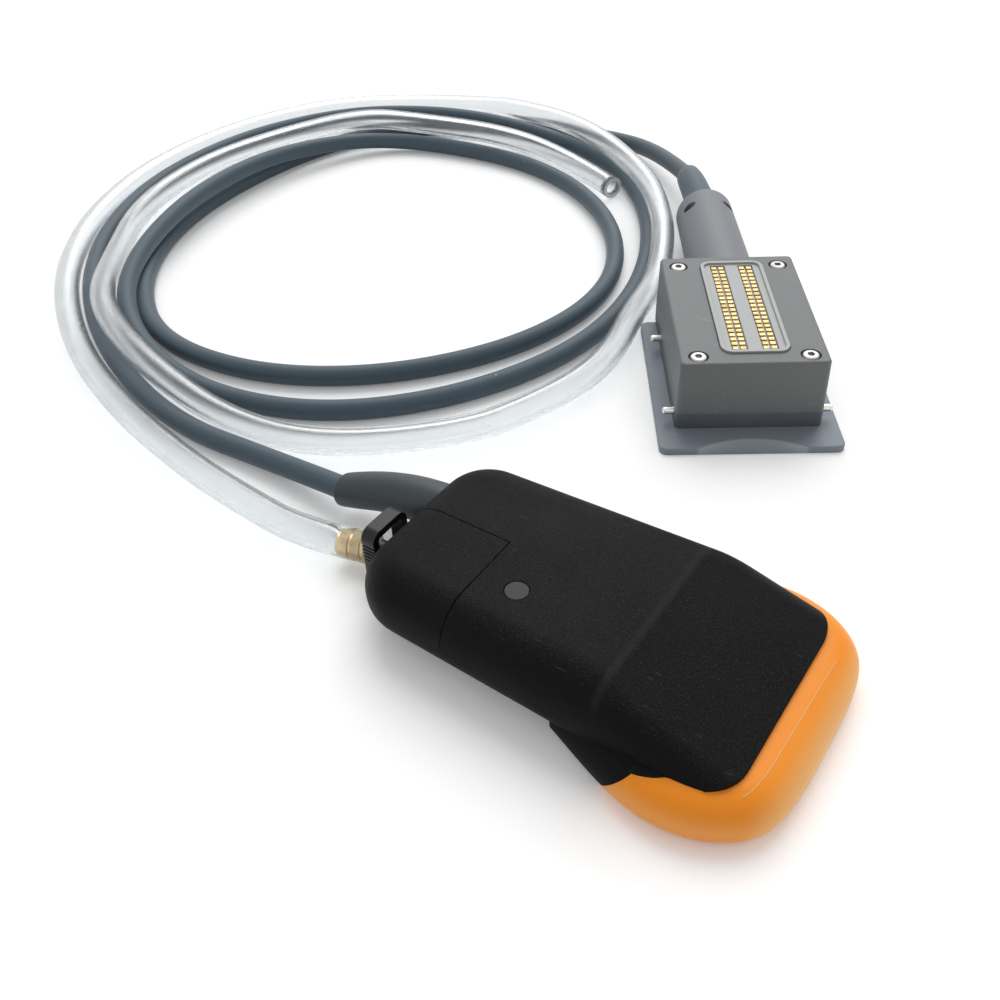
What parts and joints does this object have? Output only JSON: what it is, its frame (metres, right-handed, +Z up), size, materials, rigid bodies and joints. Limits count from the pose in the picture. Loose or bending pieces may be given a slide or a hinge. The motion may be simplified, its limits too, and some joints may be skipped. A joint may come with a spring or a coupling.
{
  "type": "ultrasound transducer probe",
  "caption": "Handheld ultrasound probe with an orange nose, a coiled cable, a clear coupling-fluid hose and a flat multi-contact connector.",
  "frame": {"origin": "on the resting surface, under the middle of the handset with its hose stem", "axes": "+X along the handset towards the orange nose, +Y to its far side in the picture, +Z up"},
  "size_m": [0.425, 0.3484, 0.029],
  "materials": {
    "black_nylon": "fine grained moulded nylon",
    "boot_rubber": "smooth satin rubber",
    "cable_jacket": "matte jacket",
    "orange_nose": "satin, slightly translucent",
    "marker": "satin",
    "zinc_screw": "bright zinc",
    "array_resin": "satin",
    "board_green": "coated board",
    "clamp_nylon": "natural nylon",
    "duct_nylon": "natural nylon",
    "socket_black": "satin acetal",
    "brass_barb": "turned brass",
    "clear_vinyl": "clear flexible vinyl",
    "plate_gray": "fine grained",
    "lower_gray": "fine grained",
    "upper_gray": "fine grained",
    "insert_gray": "satin",
    "gold_contact": "gold plated",
    "nickel_pin": "bright nickel",
    "barrel_gray": "fine grained"
  },
  "bodies": {
    "probe": {"top_shell": "black_nylon", "bottom_shell": "black_nylon", "rear_cover": "black_nylon", "nose_cap": "orange_nose", "marker_plug": "marker", "shell_screws": "zinc_screw", "array_module": "array_resin", "signal_board": "board_green", "cable_clamp": "clamp_nylon", "fluid_duct": "duct_nylon", "cable_boot": "boot_rubber", "hose_socket": "socket_black", "hose_barb": "brass_barb", "base_plate": "plate_gray", "lower_housing": "lower_gray", "upper_housing": "upper_gray", "contact_insert": "insert_gray", "left_contacts": "gold_contact", "right_contacts": "gold_contact", "connector_board": "board_green", "connector_screws": "zinc_screw", "guide_pins": "nickel_pin", "barrel_top": "barrel_gray", "barrel_bottom": "barrel_gray", "barrel_screws": "zinc_screw", "connector_boot": "cable_jacket", "cable": "cable_jacket", "clear_hose": "clear_vinyl"},
    "latch": {"latch_ring": "socket_black"}
  },
  "joints": [
    {"name": "latch_press", "type": "slide", "parent": "probe", "child": "latch", "axis": [0, 1, 0], "range_m": [0, 0.0016], "stiffness_N_per_m": 400}
  ]
}
